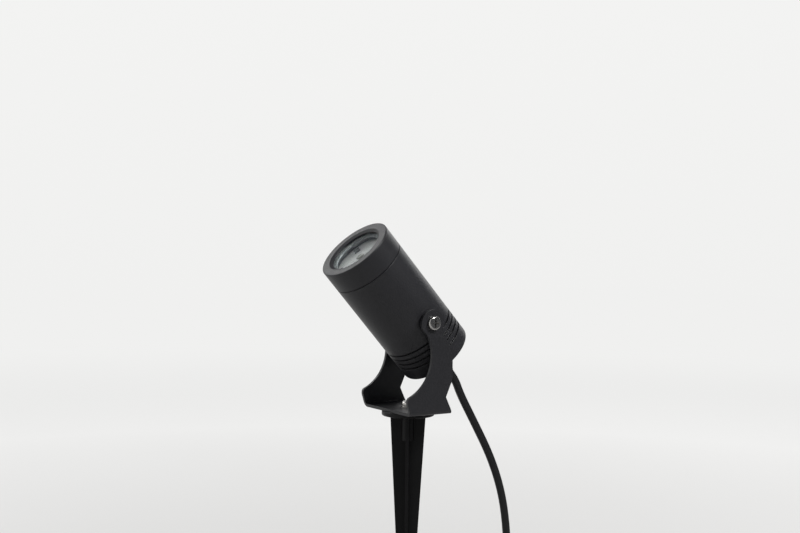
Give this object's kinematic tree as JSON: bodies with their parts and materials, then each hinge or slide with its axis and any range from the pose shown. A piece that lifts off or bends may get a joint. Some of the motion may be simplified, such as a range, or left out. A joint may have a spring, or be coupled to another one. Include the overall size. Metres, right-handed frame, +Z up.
{
  "type": "garden spike spotlight",
  "caption": "Black round spotlight head tilting in a folded sickle-armed bracket on a ribbed ground spike, with a rubber lead coiled beside it.",
  "frame": {"origin": "on the ground spike's axis at the level of its tip, which is the surface that the lead lies on", "axes": "+Z up along the spike; +X along the tilt axis through the two pivot screws; the beam leans towards -Y"},
  "size_m": [0.1516, 0.1796, 0.3382],
  "materials": {
    "coated_aluminium": "black powder coat, satin, fine orange peel",
    "black_powder_coat": "satin, fine orange peel",
    "gloss_black_plastic": "gloss, moulded",
    "matte_black_plastic": "matte, moulded",
    "stainless_steel": "bright",
    "clear_glass": "polished, clear",
    "pale_silicone": "smooth, cloudy",
    "black_rubber": "matte",
    "brass_insert": "turned",
    "bare_aluminium": "machined",
    "white_board": "white solder mask",
    "phosphor": "smooth silicone",
    "grey_plastic": "matte, moulded",
    "green_board": "solder mask",
    "component_black": "matte",
    "core_brown": "smooth insulation",
    "core_blue": "smooth insulation",
    "core_green": "smooth insulation",
    "wire_grey": "smooth insulation"
  },
  "bodies": {
    "spike": {"ground_spike": "gloss_black_plastic", "spike_insert": "brass_insert", "base_bolt": "stainless_steel", "base_spring_washer": "stainless_steel", "base_flat_washer": "stainless_steel"},
    "bracket": {"bracket": "black_powder_coat", "cable": "black_rubber", "cable_coil": "black_rubber", "core_live": "core_brown", "core_neutral": "core_blue", "core_earth": "core_green", "core_tips": "stainless_steel"},
    "head": {"bezel_ring": "coated_aluminium", "bezel_seal": "black_rubber", "board_screws": "stainless_steel", "cable_entry": "black_rubber", "driver_board": "green_board", "driver_capacitor": "component_black", "driver_case": "matte_black_plastic", "driver_choke": "component_black", "driver_transformer": "component_black", "front_glass": "clear_glass", "gland_body": "matte_black_plastic", "gland_gasket": "black_rubber", "gland_nut": "matte_black_plastic", "glass_gasket": "pale_silicone", "heat_plate": "bare_aluminium", "housing": "coated_aluminium", "led_board": "white_board", "led_connector": "grey_plastic", "led_emitter": "phosphor", "led_leads": "wire_grey", "pivot_screws": "stainless_steel", "pivot_washers": "grey_plastic", "strain_relief": "black_rubber", "supply_cores": "wire_grey"}
  },
  "joints": [
    {"name": "bracket_pan", "type": "hinge", "parent": "spike", "child": "bracket", "pos_m": [0, 0, 0.19], "axis": [0, 0, 1], "range_deg": [-180, 180]},
    {"name": "head_tilt", "type": "hinge", "parent": "bracket", "child": "head", "pos_m": [0, 0, 0.2618], "axis": [1, 0, 0], "range_deg": [-30, 90]}
  ]
}
